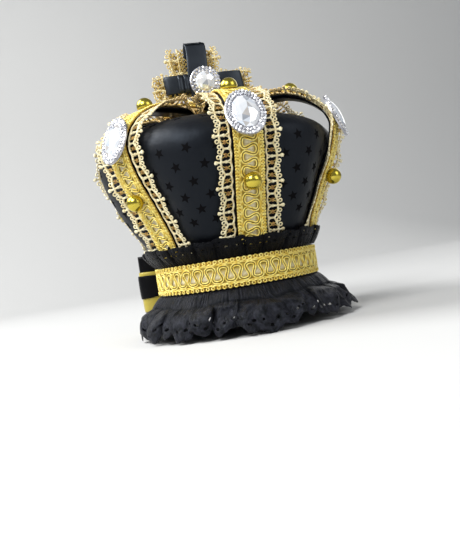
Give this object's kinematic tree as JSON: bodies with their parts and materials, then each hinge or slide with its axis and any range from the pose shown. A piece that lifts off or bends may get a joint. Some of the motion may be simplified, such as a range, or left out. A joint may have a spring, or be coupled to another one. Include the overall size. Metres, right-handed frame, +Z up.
{
  "type": "mini crown hair ornament",
  "caption": "Mini crown with a puffed satin cap under gold-braided lace arches with beads and set stones, a ribbon cross, a frilled band and a bow at the back.",
  "frame": {"origin": "on the floor under the middle of the crown, where the points of its lower ruffle stand", "axes": "+Z up along the crown; the front arch and the cross face -Y, the bow is at +Y"},
  "size_m": [0.1726, 0.1838, 0.2043],
  "materials": {
    "black_satin": "near-black satin with a soft blue-grey sheen",
    "black_lace": "matt black cotton lace",
    "gold_braid": "metallic gold gimp braid",
    "gold_lace": "pale champagne gold guipure lace",
    "gold_satin": "gold satin ribbon",
    "plated_gold": "bright gold plating",
    "silver_setting": "silver setting with small rhinestones",
    "crystal": "clear cut crystal, foiled at the back"
  },
  "bodies": {
    "root": {"arch_bead_1": "plated_gold", "arch_bead_2": "plated_gold", "arch_bead_3": "plated_gold", "arch_bead_4": "plated_gold", "arch_bead_5": "plated_gold", "arch_bead_6": "plated_gold", "arch_braid_1": "gold_braid", "arch_braid_2": "gold_braid", "arch_braid_3": "gold_braid", "arch_braid_4": "gold_braid", "arch_braid_5": "gold_braid", "arch_braid_6": "gold_braid", "arch_lace_1": "gold_lace", "arch_lace_2": "gold_lace", "arch_lace_3": "gold_lace", "arch_lace_4": "gold_lace", "arch_lace_5": "gold_lace", "arch_lace_6": "gold_lace", "arch_lining_1": "black_satin", "arch_lining_2": "black_satin", "arch_lining_3": "black_satin", "arch_lining_4": "black_satin", "arch_lining_5": "black_satin", "arch_lining_6": "black_satin", "band_braid": "gold_braid", "base_ring": "black_satin", "bow_gold_ribbon": "gold_satin", "bow_knot": "black_satin", "bow_narrow_ribbon": "black_satin", "bow_wide_ribbon": "black_satin", "cross_bar_left": "black_satin", "cross_bar_right": "black_satin", "cross_jewel_setting": "silver_setting", "cross_jewel_stone": "crystal", "cross_lace_bar": "gold_lace", "cross_lace_upright": "gold_lace", "cross_upright": "black_satin", "jewel_1_setting": "silver_setting", "jewel_1_stone": "crystal", "jewel_2_setting": "silver_setting", "jewel_2_stone": "crystal", "jewel_3_setting": "silver_setting", "jewel_3_stone": "crystal", "jewel_4_setting": "silver_setting", "jewel_4_stone": "crystal", "jewel_5_setting": "silver_setting", "jewel_5_stone": "crystal", "jewel_6_setting": "silver_setting", "jewel_6_stone": "crystal", "lower_ruffle": "black_lace", "puff_cap": "black_satin", "top_bead_1": "plated_gold", "top_bead_2": "plated_gold", "top_bead_3": "plated_gold", "top_bead_4": "plated_gold", "top_bead_5": "plated_gold", "top_bead_6": "plated_gold", "top_disc": "gold_lace", "upper_frill": "black_lace"}
  },
  "joints": []
}
